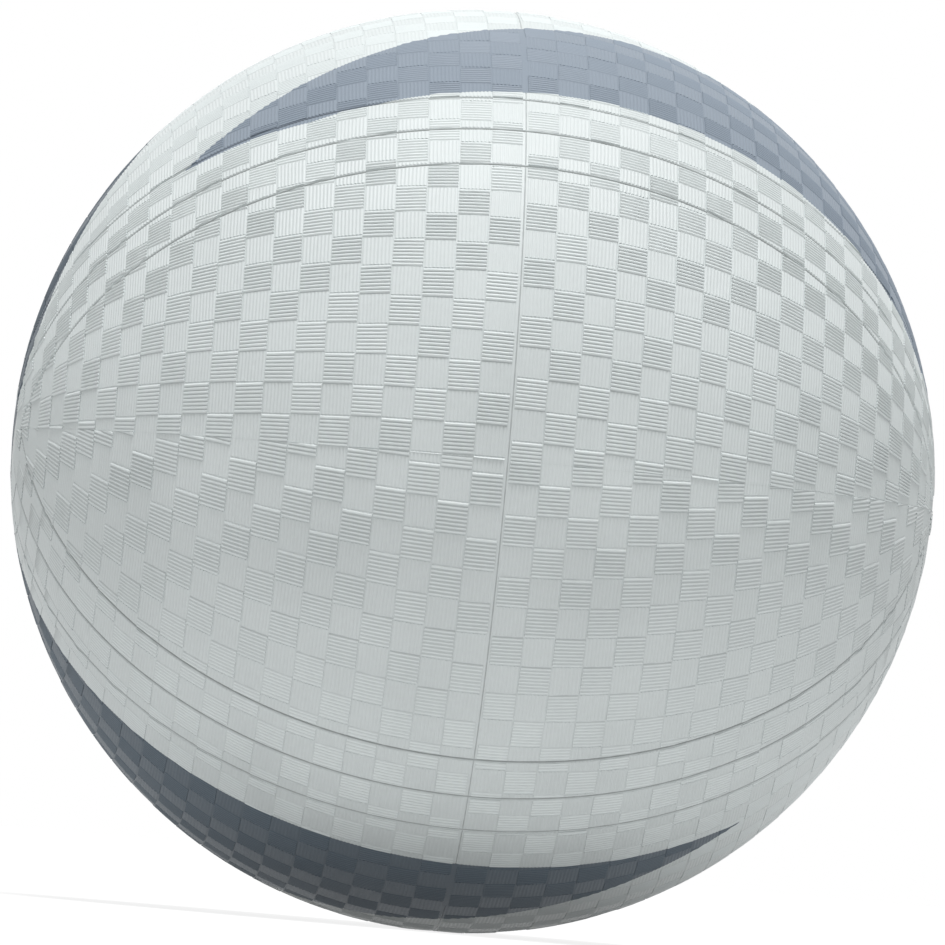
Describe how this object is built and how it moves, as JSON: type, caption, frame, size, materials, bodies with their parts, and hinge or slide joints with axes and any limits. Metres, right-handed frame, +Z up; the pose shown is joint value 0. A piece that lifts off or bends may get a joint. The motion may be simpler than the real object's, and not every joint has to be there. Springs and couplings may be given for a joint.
{
  "type": "dodgeball",
  "caption": "Moulded rubber playground ball with basket-weave relief, banded lines and dark crescents, over a wound air bladder with a needle valve.",
  "frame": {"origin": "centre of the ball", "axes": "+X to the pole with the valve, -Y to the front, +Z up. The seam of the cover lies in the YZ plane."},
  "size_m": [0.1999, 0.2, 0.2],
  "materials": {
    "cover_rubber": "satin",
    "crescent_rubber": "satin",
    "carcass_rubber": "matte",
    "nylon_thread": "satin",
    "bladder_rubber": "matte",
    "patch_rubber": "matte",
    "valve_rubber": "satin"
  },
  "bodies": {
    "root": {"bladder": "bladder_rubber", "valve_patch": "patch_rubber", "valve_housing": "valve_rubber", "valve_core": "valve_rubber", "balance_patch": "patch_rubber", "thread_winding": "nylon_thread", "carcass_left": "carcass_rubber", "carcass_right": "carcass_rubber", "cover_left": "cover_rubber", "cover_right": "cover_rubber", "crescent_top": "crescent_rubber", "crescent_bottom": "crescent_rubber", "crescent_rear": "crescent_rubber"}
  },
  "joints": []
}
